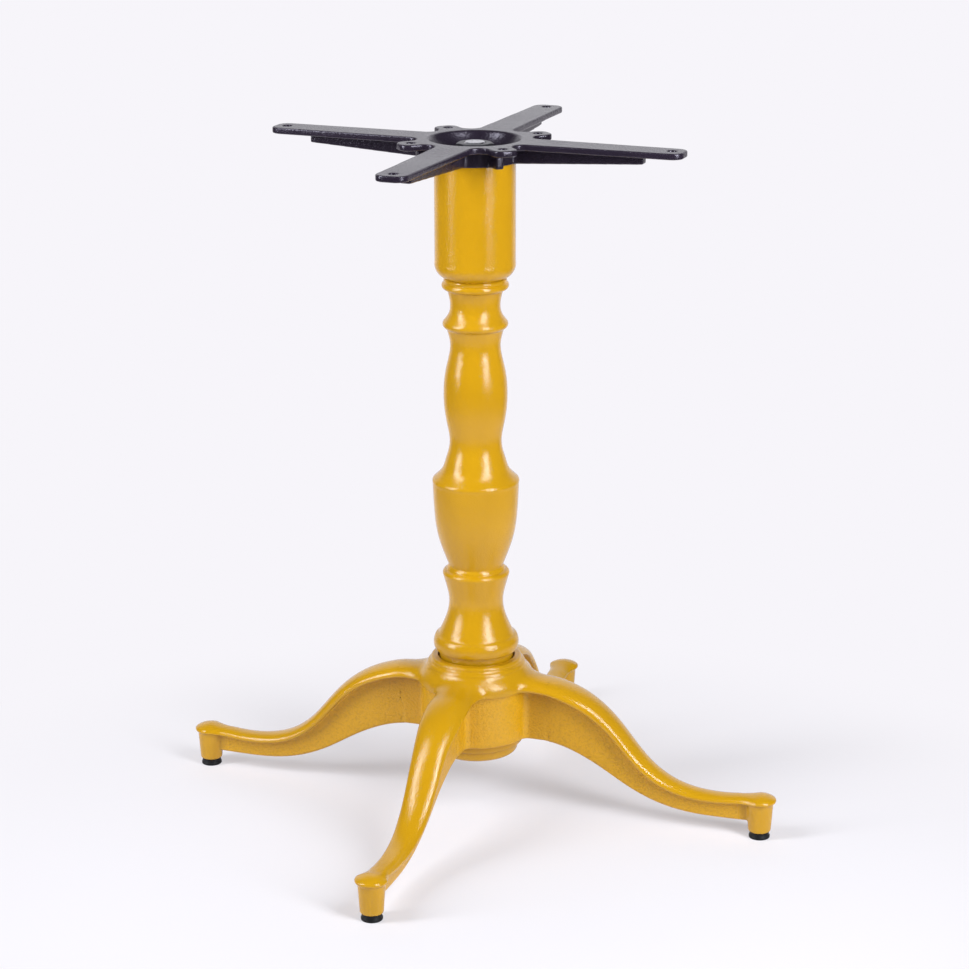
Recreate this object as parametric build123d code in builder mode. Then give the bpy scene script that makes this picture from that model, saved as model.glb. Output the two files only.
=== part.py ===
from build123d import *
import os
from math import atan2, cos, radians, sin, tan

# Driving dimensions, in millimetres

# The whole base: the floor is z = 0 and the table top rests on z = height
height = 720.0
leg_count = 4
foot_radius = 313.2

# Levelling glides: a black plastic pad on a steel stud, screwed into each foot
pad_r = 10.6
pad_height = 5.7
pad_waist_r = 9.7
pad_waist = 0.9
pad_lip = 0.4
pad_edge = 1.1
glide_gap = 0.3
stud_r = 4.0
stud_length = 24.0
stud_seat = 1.6
stud_edge = 0.8
thread_play = 0.05
bore_spare = 4.0

# Feet of the casting: a drafted boss under a lens-shaped cap
boss_foot_r = 11.6
boss_top_r = 13.6
boss_edge = 1.6
cap_r = 16.9
cap_rim_z = 40.4
cap_crown = 6.2
cap_lip = 1.5
cap_under = 2.4

# Hub of the casting: a ringed dome over a plain barrel with a stepped foot
seat_z = 164.0
socket_depth = 3.6
socket_play = 0.3
dome_r = 61.6
dome_rim_z = 137.3
dome_edge = 2.2
barrel_r = 57.2
barrel_foot_z = 79.8
step_r = 49.4
step_foot_z = 71.0
hub_foot_r = 44.2
hub_foot_z = 59.6
hub_foot_edge = 5.0
core_r = 37.0
core_wall = 9.0
deck = 14.0
draft = 1.2

# Legs: a crowned flange along an S curve over a recessed web
flange_foot_z = 37.2
flange_edge = 2.2
web_hub_half = 8.2
web_foot_half = 7.0
web_foot_z = 18.7
web_fillet = 8.0
web_spare = 6.0

# Column: one turned casting, its rings given as heights above the seat
column_r = 41.0
column_foot_r = 38.4
column_barrel_z = 430.0
column_bore_r = 34.0
column_neck = 99.0

# Top spider: four ribbed arms and four ears around a dished hub
spider_turn = -2.461
arm_count = 4
plate = 6.5
arm_reach = 222.0
arm_hole_reach = 208.4
arm_hole_r = 4.5
arm_root_half = 19.4
arm_tip_half = 16.2
arm_corner = 11.0
ear_reach = 83.0
ear_hole_reach = 69.7
ear_hole_r = 4.4
ear_half = 13.0
ear_corner = 10.0
nook_fillet = 11.0
skirt_r = 43.7
skirt_depth = 22.8
rib_half = 5.6
rib_reach = 180.0
rib_tip_depth = 8.3
ear_rib_half = 4.0
ear_rib_reach = 63.5
rib_fillet = 7.0
dish_r = 47.5
dish_floor_r = 25.0
dish_edge = 1.4
spigot_depth = 8.0
spigot_play = 0.3

# Tie rod and its nuts and washers
rod_r = 11.0
rod_play = 0.6
rod_top_drop = 3.4
rod_chamfer = 1.3
rod_tail = 8.0
nut_flats = 34.0
nut_turn = 19.2
nut_inset = 0.4
nut_spare = 1.0
nut_slant = 30.0
nut_drop = 0.9
top_nut_height = 11.0
bottom_nut_height = 18.0
washer_r = 19.5
washer = 3.0
washer_edge = 0.5

# Heights and radii that follow from them
leg_step = 360 / leg_count
half_step = 180 / arm_count
boss_foot_z = pad_height + glide_gap
bore_r = stud_r + thread_play
skirt_z = height - skirt_depth
plate_under_z = height - plate
rod_top_z = height - rod_top_drop
top_nut_z = rod_top_z - nut_drop - top_nut_height
top_washer_z = top_nut_z - washer
dish_floor_z = top_washer_z
rod_hole_r = rod_r + rod_play
deck_under_z = seat_z - deck
bottom_washer_z = deck_under_z - washer
bottom_nut_z = bottom_washer_z - bottom_nut_height
rod_foot_z = bottom_nut_z - rod_tail
socket_r = column_foot_r + socket_play
lip_z = seat_z + socket_depth

os.makedirs("parts", exist_ok=True)


# Planes and axes around the base
def upright(angle, reach=0.0):
    """A standing plane at one angle, its x outward and its y up, at a distance from the middle."""
    outward = (cos(radians(angle)), sin(radians(angle)), 0)
    across = (sin(radians(angle)), -cos(radians(angle)), 0)
    return Plane(origin=(reach * outward[0], reach * outward[1], 0), x_dir=outward, z_dir=across)


def axis_at(angle, reach):
    """The vertical axis through a point at one angle and distance."""
    return Axis((reach * cos(radians(angle)), reach * sin(radians(angle)), 0), (0, 0, 1))


def reach_of(vertex):
    return (vertex.X**2 + vertex.Y**2) ** 0.5


def bar(reach, root_half, tip_half):
    """A flat bar from the middle outward, tapering from its root to its tip."""
    corners = [(0, root_half), (0, -root_half), (reach, -tip_half), (reach, tip_half)]
    return Polygon(*corners, align=None)


def trace(place, runs):
    """Draw an outline's runs, each a kind and its marks, from the end of the run before."""
    last = place(*runs[0][1])
    for kind, *marks in runs[1:]:
        points = [last] + [place(*mark) for mark in marks]
        if kind == "line":
            Polyline(*points)
        elif kind == "arc":
            ThreePointArc(*points)
        else:
            Spline(*points)
        last = points[-1]


def write(piece, name):
    piece.label = name
    export_step(piece, "parts/" + name + ".step")


# Leg flange: stations along the S curve, as how far from the dome's rim to the
# foot, how far from the foot's flange up to the rim, half width and thickness
flange_stations = [
    (-0.048, 1.004, 32.5, 20.0),
    (-0.020, 1.004, 27.2, 16.2),
    (0.006, 1.003, 23.9, 13.8),
    (0.040, 1.000, 22.2, 12.2),
    (0.092, 0.990, 22.4, 11.5),
    (0.152, 0.951, 22.4, 11.8),
    (0.222, 0.877, 21.4, 12.2),
    (0.288, 0.772, 19.5, 12.2),
    (0.351, 0.636, 17.9, 11.5),
    (0.431, 0.409, 16.7, 10.7),
    (0.486, 0.265, 16.0, 10.2),
    (0.550, 0.138, 15.3, 10.0),
    (0.614, 0.058, 14.3, 9.4),
    (0.689, 0.003, 13.3, 8.5),
    (0.773, -0.018, 12.1, 7.3),
    (0.868, -0.014, 10.9, 6.4),
    (0.932, -0.002, 10.6, 6.4),
    (0.966, 0.003, 12.3, 6.9),
]


def flange_point(station):
    """Distance from the middle and height of a station's lower edge."""
    reach = dome_r + station[0] * (foot_radius - dome_r)
    rise = flange_foot_z + station[1] * (dome_rim_z - flange_foot_z)
    return reach, rise


def flange_slope(index):
    """Angle of the S curve at a station, from the stations on either side."""
    before = flange_point(flange_stations[max(index - 1, 0)])
    after = flange_point(flange_stations[min(index + 1, len(flange_stations) - 1)])
    return atan2(after[1] - before[1], after[0] - before[0])


with BuildPart() as flange:
    for index, station in enumerate(flange_stations):
        reach, rise = flange_point(station)
        slope = flange_slope(index)
        along = (cos(slope), 0, sin(slope))
        half, thick = station[2], station[3]
        # Each section is a low arch with its lower edges rolled under
        with BuildSketch(Plane(origin=(reach, 0, rise), x_dir=(0, 1, 0), z_dir=along)):
            with BuildLine():
                EllipticalCenterArc((0, flange_edge), half, thick - flange_edge, 0, arc_size=180)
                CenterArc((flange_edge - half, flange_edge), flange_edge, 180, 90)
                Line((flange_edge - half, 0), (half - flange_edge, 0))
                CenterArc((half - flange_edge, flange_edge), flange_edge, 270, 90)
            make_face()
    loft()

# Web outline seen from the side: its lower edge is an S curve of its own, and
# its upper edge runs inside the flange
web_stations = [
    (0.058, 0.997),
    (0.137, 0.938),
    (0.220, 0.819),
    (0.296, 0.668),
    (0.434, 0.341),
    (0.566, 0.116),
    (0.690, 0.016),
    (0.810, -0.006),
    (0.950, 0.003),
]


def web_point(station):
    """Distance and height of a point on the web's lower edge."""
    reach = dome_r + station[0] * (foot_radius - dome_r)
    rise = web_foot_z + station[1] * (barrel_foot_z - web_foot_z)
    return reach, rise


web_lower = [web_point(station) for station in web_stations]
web_upper = []
for station in flange_stations[2:]:
    reach, rise = flange_point(station)
    web_upper.append((reach, rise + station[3] / 3))

with BuildPart() as web_side:
    with BuildSketch(upright(0)):
        with BuildLine():
            Line((0, barrel_foot_z), web_lower[0])
            Spline(*web_lower)
            Line(web_lower[-1], (foot_radius, web_lower[-1][1]))
            Line((foot_radius, web_lower[-1][1]), (foot_radius, web_upper[-1][1]))
            Line((foot_radius, web_upper[-1][1]), web_upper[-1])
            Spline(*reversed(web_upper))
            Line(web_upper[0], (0, web_upper[0][1]))
            Line((0, web_upper[0][1]), (0, barrel_foot_z))
        make_face()
    extrude(amount=dome_r, both=True)

with BuildPart() as web_sides:
    with PolarLocations(0, leg_count):
        add(web_side.part)

# Dome outline from the socket's lip down to its rim, as shares of the way
# outward and of the way down: two rings and a sweep
dome_outline = [
    ("start", (0.0, 0.02)),
    ("line", (0.026, 0.0), (0.22, 0.01)),
    ("arc", (0.35, 0.04), (0.395, 0.136)),
    ("line", (0.41, 0.19)),
    ("arc", (0.525, 0.24), (0.585, 0.36)),
    ("line", (0.605, 0.41)),
    ("curve", (0.83, 0.63), (0.965, 0.81), (1.0, 1.0)),
]


def dome_at(outward, down):
    rim_top = dome_rim_z + dome_edge
    return socket_r + outward * (dome_r - socket_r), lip_z - down * (lip_z - rim_top)


# Base casting
with BuildPart() as base_casting:
    # Barrel and webs in plan, with rounded inner corners, drafted downward
    with BuildSketch(Plane.XY.offset(dome_rim_z)) as plan:
        Circle(barrel_r)
        with PolarLocations(0, leg_count):
            bar(foot_radius, web_hub_half, web_foot_half)
        inner = [v for v in plan.vertices() if reach_of(v) < barrel_r + 1]
        fillet(inner, web_fillet)
    extrude(amount=web_foot_z - web_spare - dome_rim_z, taper=draft)
    add(web_sides.part, mode=Mode.INTERSECT)
    with PolarLocations(0, leg_count):
        add(flange.part)
    # Dome with its rings, and the stepped foot of the hub
    with BuildSketch(Plane.XZ):
        with BuildLine():
            Polyline((0, seat_z), (socket_r, seat_z), dome_at(*dome_outline[0][1]))
            trace(dome_at, dome_outline)
            Line((dome_r, dome_rim_z + dome_edge), (dome_r - dome_edge, dome_rim_z))
            Line((dome_r - dome_edge, dome_rim_z), (0, dome_rim_z))
            Line((0, dome_rim_z), (0, seat_z))
        make_face()
    revolve(axis=Axis.Z)
    with BuildSketch(Plane.XZ):
        with BuildLine():
            Line((0, hub_foot_z), (hub_foot_r - hub_foot_edge, hub_foot_z))
            RadiusArc(
                (hub_foot_r - hub_foot_edge, hub_foot_z),
                (hub_foot_r, hub_foot_z + hub_foot_edge),
                -hub_foot_edge,
            )
            Polyline(
                (hub_foot_r, hub_foot_z + hub_foot_edge),
                (hub_foot_r, step_foot_z),
                (step_r, step_foot_z),
                (step_r, deck_under_z),
                (0, deck_under_z),
                (0, hub_foot_z),
            )
        make_face()
    revolve(axis=Axis.Z)
    # Feet: boss, cap and the tapped hole for the glide's stud
    for turn in range(leg_count):
        angle = turn * leg_step
        with BuildSketch(upright(angle, foot_radius)):
            with BuildLine():
                Line((0, boss_foot_z), (boss_foot_r - boss_edge, boss_foot_z))
                RadiusArc(
                    (boss_foot_r - boss_edge, boss_foot_z),
                    (boss_foot_r, boss_foot_z + boss_edge),
                    -boss_edge,
                )
                Line((boss_foot_r, boss_foot_z + boss_edge), (boss_top_r, cap_rim_z - cap_under))
                Line((boss_top_r, cap_rim_z - cap_under), (cap_r - cap_lip, cap_rim_z - cap_lip))
                RadiusArc(
                    (cap_r - cap_lip, cap_rim_z - cap_lip), (cap_r, cap_rim_z), -cap_lip
                )
                ThreePointArc(
                    (cap_r, cap_rim_z),
                    (cap_r * 0.62, cap_rim_z + cap_crown * 0.68),
                    (0, cap_rim_z + cap_crown),
                )
                Line((0, cap_rim_z + cap_crown), (0, boss_foot_z))
            make_face()
        revolve(axis=axis_at(angle, foot_radius))
    with BuildSketch(Plane.XY.offset(boss_foot_z)):
        with PolarLocations(foot_radius, leg_count):
            Circle(bore_r)
    extrude(amount=stud_length + bore_spare - stud_seat - glide_gap, mode=Mode.SUBTRACT)
    # Cored underside of the hub, and the hole for the tie rod
    with BuildSketch(Plane.XZ):
        with BuildLine():
            Polyline(
                (0, hub_foot_z),
                (core_r, hub_foot_z),
                (core_r, step_foot_z),
                (barrel_r - core_wall, barrel_foot_z + core_wall),
                (barrel_r - core_wall, deck_under_z - core_wall),
                (barrel_r - 2 * core_wall, deck_under_z),
                (0, deck_under_z),
                close=True,
            )
        make_face()
    revolve(axis=Axis.Z, mode=Mode.SUBTRACT)
    with BuildSketch(Plane.XY.offset(seat_z)):
        Circle(rod_hole_r)
    extrude(amount=-deck, mode=Mode.SUBTRACT)
write(base_casting.part, "base_casting")


# Column outline from its foot to its barrel, as shares of the barrel's radius
# and of the rise from the seat to the barrel
column_outline = [
    ("start", (0.9366, 0)),
    ("line", (0.9488, 0.027), (1.015, 0.0288)),
    ("arc", (1.083, 0.047), (1.049, 0.0637)),
    ("line", (1.022, 0.066), (1.015, 0.0702)),
    (
        "curve",
        (0.8585, 0.0893),
        (0.722, 0.1207),
        (0.6829, 0.1523),
        (0.7415, 0.1874),
        (0.8195, 0.2195),
    ),
    ("arc", (0.8268, 0.2247), (0.7878, 0.2312)),
    ("line", (0.7634, 0.2326)),
    ("arc", (0.7585, 0.2377), (0.7171, 0.2423)),
    ("line", (0.7024, 0.243)),
    (
        "curve",
        (0.8341, 0.2805),
        (0.9585, 0.3223),
        (1.027, 0.3633),
        (1.063, 0.4047),
        (1.083, 0.4526),
    ),
    ("arc", (1.088, 0.4586), (1.054, 0.4642)),
    (
        "curve",
        (0.8634, 0.4865),
        (0.7463, 0.5114),
        (0.6659, 0.5372),
        (0.6463, 0.5628),
        (0.7049, 0.597),
        (0.7732, 0.637),
        (0.7939, 0.6767),
        (0.7512, 0.7267),
        (0.6634, 0.7663),
        (0.6183, 0.7958),
        (0.6927, 0.8384),
    ),
    ("line", (0.7512, 0.8405)),
    ("arc", (0.8073, 0.8488), (0.7854, 0.8563)),
    ("curve", (0.6732, 0.8721), (0.6195, 0.8977), (0.6927, 0.9307)),
    ("line", (0.7659, 0.933)),
    ("arc", (0.8268, 0.9414), (0.7805, 0.9493)),
    ("line", (0.761, 0.9507)),
    ("arc", (0.7756, 0.9558), (0.7317, 0.96)),
    ("line", (0.7512, 0.9605)),
    ("arc", (0.9366, 0.9758), (1, 1)),
]

# The core inside it, wider where the outside is
core_outline = [
    (0.7317, 0),
    (0.7317, 0.0558),
    (0.4512, 0.1209),
    (0.4512, 0.2512),
    (0.7805, 0.3488),
    (0.8049, 0.4372),
    (0.4512, 0.5256),
    (0.4268, 0.9302),
]


def column_at(outward, rise):
    return outward * column_r, seat_z + rise * column_barrel_z


with BuildPart() as column:
    with BuildSketch(Plane.XZ):
        with BuildLine():
            Line((0, seat_z), column_at(*column_outline[0][1]))
            trace(column_at, column_outline)
            Polyline(column_at(1, 1), (column_r, skirt_z), (0, skirt_z), (0, seat_z))
        make_face()
    revolve(axis=Axis.Z)
    with BuildSketch(Plane.XZ):
        with BuildLine():
            Polyline(
                (0, seat_z),
                *[column_at(*mark) for mark in core_outline],
                (column_bore_r, skirt_z - column_neck),
                (column_bore_r, skirt_z),
                (0, skirt_z),
                close=True,
            )
        make_face()
    revolve(axis=Axis.Z, mode=Mode.SUBTRACT)
write(column.part, "column")

# Dish outline from its floor to its rim, as shares of the way out and up
dish_outline = [
    ("start", (0.0, 0.0)),
    ("curve", (0.36, 0.14), (0.76, 0.59), (0.94, 0.92)),
    ("line", (1.0, 1.0)),
]


def dish_at(outward, rise):
    out = dish_floor_r + outward * (dish_r - dish_floor_r)
    return out, dish_floor_z + rise * (height - dish_floor_z)


# Top spider
spider_plane = Plane.XY.rotated((0, 0, spider_turn))
with BuildPart() as top_spider:
    # Arms and ears in plan
    with BuildSketch(spider_plane.offset(plate_under_z)) as outline:
        with PolarLocations(0, arm_count):
            bar(arm_reach, arm_root_half, arm_tip_half)
        with PolarLocations(0, arm_count, start_angle=half_step):
            bar(ear_reach, ear_half, ear_half)
        nooks = [v for v in outline.vertices() if reach_of(v) < ear_hole_reach]
        fillet(nooks, nook_fillet)
        ends = [v for v in outline.vertices() if reach_of(v) > arm_reach]
        fillet(ends, arm_corner)
        tips = [v for v in outline.vertices() if ear_reach < reach_of(v) < ear_reach + 3]
        fillet(tips, ear_corner)
        with PolarLocations(arm_hole_reach, arm_count):
            Circle(arm_hole_r, mode=Mode.SUBTRACT)
        with PolarLocations(ear_hole_reach, arm_count, start_angle=half_step):
            Circle(ear_hole_r, mode=Mode.SUBTRACT)
    extrude(amount=plate)
    # Skirt and ribs in plan, under the plate, with rounded inner corners
    with BuildSketch(spider_plane.offset(skirt_z)) as under:
        Circle(skirt_r)
        with PolarLocations(0, arm_count):
            bar(rib_reach, rib_half, rib_half)
        with PolarLocations(0, arm_count, start_angle=half_step):
            bar(ear_rib_reach, ear_rib_half, ear_rib_half)
        fillet([v for v in under.vertices() if reach_of(v) < skirt_r + 1], rib_fillet)
    extrude(amount=height - dish_edge - skirt_z)
    # The ribs' lower edge rises from the skirt to the tips of the ribs
    with BuildSketch(Plane.XZ):
        with BuildLine():
            Polyline(
                (skirt_r, skirt_z),
                (rib_reach, plate_under_z - rib_tip_depth),
                (rib_reach + plate, plate_under_z - rib_tip_depth),
                (rib_reach + plate, skirt_z - plate),
                (skirt_r, skirt_z - plate),
                close=True,
            )
        make_face()
    revolve(axis=Axis.Z, mode=Mode.SUBTRACT)
    # Spigot that centres the spider in the column
    with BuildSketch(Plane.XY.offset(skirt_z)):
        Circle(column_bore_r - spigot_play)
    extrude(amount=-spigot_depth)
    # Dish with the nut in it, and the hole for the tie rod
    with BuildSketch(Plane.XZ):
        with BuildLine():
            Line((0, dish_floor_z), dish_at(0, 0))
            trace(dish_at, dish_outline)
            Polyline(dish_at(1, 1), (dish_r, height + plate), (0, height + plate), (0, dish_floor_z))
        make_face()
    revolve(axis=Axis.Z, mode=Mode.SUBTRACT)
    with BuildSketch(Plane.XY.offset(skirt_z - spigot_depth)):
        Circle(rod_hole_r)
    extrude(amount=height - skirt_z + spigot_depth, mode=Mode.SUBTRACT)
write(top_spider.part, "top_spider")

# Tie rod through the column, from under the hub's deck to the dish
with BuildPart() as tie_rod:
    with BuildSketch(Plane.XY.offset(rod_foot_z)):
        Circle(rod_r)
    extrude(amount=rod_top_z - rod_foot_z)
    ends = tie_rod.edges().filter_by(GeomType.CIRCLE)
    chamfer(ends, rod_chamfer)
write(tie_rod.part, "tie_rod")


# Nuts: hexagons with the corners of both faces turned off
def hex_nut(foot_z, tall, name):
    with BuildPart() as nut:
        with BuildSketch(Plane.XY.offset(foot_z)):
            RegularPolygon(nut_flats / 2, 6, major_radius=False, rotation=nut_turn)
            Circle(rod_r, mode=Mode.SUBTRACT)
        extrude(amount=tall)
        face_r = nut_flats / 2 - nut_inset
        clear_r = nut_flats / 3**0.5 + nut_spare
        drop = (clear_r - face_r) * tan(radians(nut_slant))
        with BuildSketch(Plane.XZ):
            with BuildLine():
                Polyline(
                    (0, foot_z),
                    (face_r, foot_z),
                    (clear_r, foot_z + drop),
                    (clear_r, foot_z + tall - drop),
                    (face_r, foot_z + tall),
                    (0, foot_z + tall),
                    close=True,
                )
            make_face()
        revolve(axis=Axis.Z, mode=Mode.INTERSECT)
    write(nut.part, name)


hex_nut(top_nut_z, top_nut_height, "top_nut")
hex_nut(bottom_nut_z, bottom_nut_height, "bottom_nut")


# Washers
def flat_washer(foot_z, name):
    with BuildPart() as ring:
        with BuildSketch(Plane.XY.offset(foot_z)):
            Circle(washer_r)
            Circle(rod_hole_r, mode=Mode.SUBTRACT)
        extrude(amount=washer)
        chamfer(ring.edges().group_by(Axis.Z)[-1].sort_by(SortBy.LENGTH)[-1], washer_edge)
    write(ring.part, name)


flat_washer(top_washer_z, "top_washer")
flat_washer(bottom_washer_z, "bottom_washer")

# Levelling glides, one in each foot
for turn in range(leg_count):
    angle = turn * leg_step
    foot_axis = axis_at(angle, foot_radius)
    with BuildPart() as glide_pad:
        with BuildSketch(upright(angle, foot_radius)):
            with BuildLine():
                Polyline(
                    (0, 0),
                    (pad_r - pad_edge, 0),
                    (pad_r, pad_edge),
                    (pad_r, pad_height - pad_waist - 3 * pad_lip),
                    (pad_waist_r, pad_height - pad_waist - 2 * pad_lip),
                    (pad_waist_r, pad_height - 2 * pad_lip),
                    (pad_r, pad_height - pad_lip),
                    (pad_r, pad_height),
                    (stud_r, pad_height),
                    (stud_r, stud_seat),
                    (0, stud_seat),
                    close=True,
                )
            make_face()
        revolve(axis=foot_axis)
    write(glide_pad.part, "glide_pad_" + str(turn + 1))
    with BuildPart() as glide_stud:
        with BuildSketch(Plane.XY.offset(stud_seat)):
            with PolarLocations(foot_radius, 1, start_angle=angle):
                Circle(stud_r)
        extrude(amount=stud_length)
        chamfer(glide_stud.faces().sort_by(Axis.Z)[-1].edges(), stud_edge)
    write(glide_stud.part, "glide_stud_" + str(turn + 1))
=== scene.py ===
import bpy
import bmesh
import numpy as np
from math import radians, tan, pi
from mathutils import Matrix, Vector


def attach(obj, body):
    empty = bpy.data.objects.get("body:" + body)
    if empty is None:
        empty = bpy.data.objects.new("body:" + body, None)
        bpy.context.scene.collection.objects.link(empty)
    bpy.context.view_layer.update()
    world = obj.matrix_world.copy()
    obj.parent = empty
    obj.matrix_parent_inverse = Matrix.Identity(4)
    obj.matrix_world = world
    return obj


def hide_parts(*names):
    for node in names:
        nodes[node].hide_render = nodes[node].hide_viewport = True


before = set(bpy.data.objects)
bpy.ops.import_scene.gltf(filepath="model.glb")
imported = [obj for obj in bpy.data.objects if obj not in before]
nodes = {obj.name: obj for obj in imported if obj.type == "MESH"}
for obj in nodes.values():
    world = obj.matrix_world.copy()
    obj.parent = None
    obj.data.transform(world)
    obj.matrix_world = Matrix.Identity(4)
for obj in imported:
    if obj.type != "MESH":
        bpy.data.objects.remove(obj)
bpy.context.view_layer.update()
millimetre = 0.001
print("frame loaded:", len(nodes), "nodes")

cameraSetup = {
    "place": (0.9208, -2.6400, 1.2069),
    "turn": (73.054, -0.11, 19.034),  # tilt, roll about the view and heading, in degrees
    "lens": 103.85,
    "sensor": 36.0,
    "shift": (-0.0004, 0.0),
    "farClip": 50.0,
}


def addCamera(setup):
    data = bpy.data.cameras.new("photoCamera")
    data.lens = setup["lens"]
    data.sensor_width = setup["sensor"]
    data.shift_x, data.shift_y = setup["shift"]
    data.clip_end = setup["farClip"]
    camera = bpy.data.objects.new("photoCamera", data)
    bpy.context.scene.collection.objects.link(camera)
    camera.location = setup["place"]
    tilt, roll, heading = (radians(a) for a in setup["turn"])
    turn = Matrix.Rotation(heading, 3, "Z") @ Matrix.Rotation(tilt, 3, "X") @ Matrix.Rotation(roll, 3, "Z")
    camera.rotation_euler = turn.to_euler()
    bpy.context.scene.camera = camera


addCamera(cameraSetup)
print("camera placed")


# Points in mm as an n by 3 array, quads as an m by 4 array of their indices.
def makePiece(name, points, quads, material=None, body="root", crease=None):
    mesh = bpy.data.meshes.new(name)
    mesh.from_pydata((points * millimetre).tolist(), [], quads.tolist())
    piece = bpy.data.objects.new(name, mesh)
    bpy.context.scene.collection.objects.link(piece)
    weldPiece(piece)
    finishPiece(piece, material, body, crease)
    return piece


def weldPiece(piece, gap=1e-6):
    work = bmesh.new()
    work.from_mesh(piece.data)
    bmesh.ops.remove_doubles(work, verts=work.verts, dist=gap)
    bmesh.ops.recalc_face_normals(work, faces=work.faces)
    work.to_mesh(piece.data)
    work.free()


def finishPiece(piece, material, body, crease=None):
    mesh = piece.data
    mesh.polygons.foreach_set("use_smooth", np.ones(len(mesh.polygons), bool))
    if crease:
        mesh.set_sharp_from_angle(angle=radians(crease))
    if material:
        mesh.materials.clear()
        mesh.materials.append(material)
    if body:
        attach(piece, body)


# Quads over a grid of points stored row after row, each row joined end to end.
def gridQuads(rows, perRow):
    row, here = np.meshgrid(np.arange(rows - 1), np.arange(perRow), indexing="ij")
    following = (here + 1) % perRow
    corners = (row * perRow + here, row * perRow + following,
               (row + 1) * perRow + following, (row + 1) * perRow + here)
    return np.stack(corners, axis=-1).reshape(-1, 4)


# Points turned about the vertical axis: x cos - y sin, x sin + y cos.
def turned(points, angle):
    c, s = np.cos(angle), np.sin(angle)
    x, y = points[:, 0] * c - points[:, 1] * s, points[:, 0] * s + points[:, 1] * c
    return np.stack([x, y, points[:, 2]], axis=1)


# Stacks several (points, quads) shells into one.
def joinShells(shells):
    points, quads, count = [], [], 0
    for shellPoints, shellQuads in shells:
        points.append(shellPoints)
        quads.append(shellQuads + count)
        count += len(shellPoints)
    return np.concatenate(points), np.concatenate(quads)


# Natural cubic spline through the marks, its parameter the length of chords.
def curveThrough(marks, step=0.5):
    marks = np.asarray(marks, float)
    chord = np.concatenate([[0], np.cumsum(np.linalg.norm(np.diff(marks, axis=0), axis=1))])
    gap = np.diff(chord)
    size = len(marks)
    matrix = np.eye(size)
    pull = np.zeros_like(marks)
    inner = np.arange(1, size - 1)
    matrix[inner, inner - 1] = gap[:-1]
    matrix[inner, inner] = 2 * (gap[:-1] + gap[1:])
    matrix[inner, inner + 1] = gap[1:]
    slope = np.diff(marks, axis=0) / gap[:, None]
    pull[1:-1] = 6 * np.diff(slope, axis=0)
    bend = np.linalg.solve(matrix, pull)
    where = np.linspace(0, chord[-1], max(int(chord[-1] / step), 4) + 1)
    piece = np.clip(np.searchsorted(chord, where, side="right") - 1, 0, size - 2)
    h = gap[piece][:, None]
    a = (chord[piece + 1] - where)[:, None] / h
    b = (where - chord[piece])[:, None] / h
    return (a * marks[piece] + b * marks[piece + 1]
            + ((a**3 - a) * bend[piece] + (b**3 - b) * bend[piece + 1]) * h**2 / 6)


# Circle arc through three points, by the centre that is equally far from them.
def arcThrough(first, middle, last, count=24):
    first, middle, last = (np.asarray(p, float) for p in (first, middle, last))
    sides = 2 * np.array([middle - first, last - first])
    right = np.array([middle @ middle - first @ first, last @ last - first @ first])
    centre = np.linalg.solve(sides, right)
    angles = [np.arctan2(*(p - centre)[::-1]) for p in (first, middle, last)]
    angles = np.unwrap(angles)
    radius = np.linalg.norm(first - centre)
    sweep = np.interp(np.linspace(0, 2, count), [0, 1, 2], angles)
    return centre + radius * np.stack([np.cos(sweep), np.sin(sweep)], axis=1)


# The points of an outline whose runs are lines, arcs and curves through marks.
def traceOutline(place, runs):
    last = place(*runs[0][1])
    points = [np.array([last])]
    for kind, *marks in runs[1:]:
        run = [last] + [place(*mark) for mark in marks]
        if kind == "line":
            traced = np.array(run, float)
        elif kind == "arc":
            traced = arcThrough(*run)
        else:
            traced = curveThrough(run)
        points.append(traced[1:])
        last = run[-1]
    return np.concatenate(points)


# An outline with its corners eased as paint eases them: evenly stepped, blurred by a bell
# curve, and thinned to points spaced by length and by turning.
def softened(outline, soft, reach=3.0, bend=6.0, step=0.25):
    chord = np.concatenate([[0], np.cumsum(np.linalg.norm(np.diff(outline, axis=0), axis=1))])
    keep = np.concatenate([[True], np.diff(chord) > 1e-9])
    outline, chord = outline[keep], chord[keep]
    where = np.linspace(0, chord[-1], int(chord[-1] / step) + 1)
    even = np.stack([np.interp(where, chord, outline[:, k]) for k in (0, 1)], axis=1)
    width = max(int(3 * soft / step), 1)
    bell = np.exp(-0.5 * (np.arange(-width, width + 1) * step / soft) ** 2)
    bell /= bell.sum()
    before = 2 * even[0] - even[1:width + 1][::-1]
    after = 2 * even[-1] - even[-width - 1:-1][::-1]
    padded = np.concatenate([before, even, after])
    blurred = np.stack([np.convolve(padded[:, k], bell, "valid") for k in (0, 1)], axis=1)
    heading = np.unwrap(np.arctan2(*np.diff(blurred, axis=0).T[::-1]))
    turn = np.abs(np.diff(heading))
    cost = np.full(len(blurred) - 1, step / reach)
    cost[1:] += turn / radians(bend)
    cost = np.concatenate([[0], np.cumsum(cost)])
    marks = np.linspace(0, cost[-1], int(cost[-1]) + 2)
    return np.stack([np.interp(marks, cost, blurred[:, k]) for k in (0, 1)], axis=1)


# Outline points (radius, height) carried round a vertical axis: x = r cos, y = r sin.
def revolved(outline, around, centre=(0.0, 0.0)):
    angle = np.arange(around) * 2 * pi / around
    radius = np.maximum(outline[:, 0], 0)[:, None]
    x = centre[0] + radius * np.cos(angle)
    y = centre[1] + radius * np.sin(angle)
    z = np.repeat(outline[:, 1][:, None], around, axis=1)
    return np.stack([x, y, z], axis=-1).reshape(-1, 3), gridQuads(len(outline), around)


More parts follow.
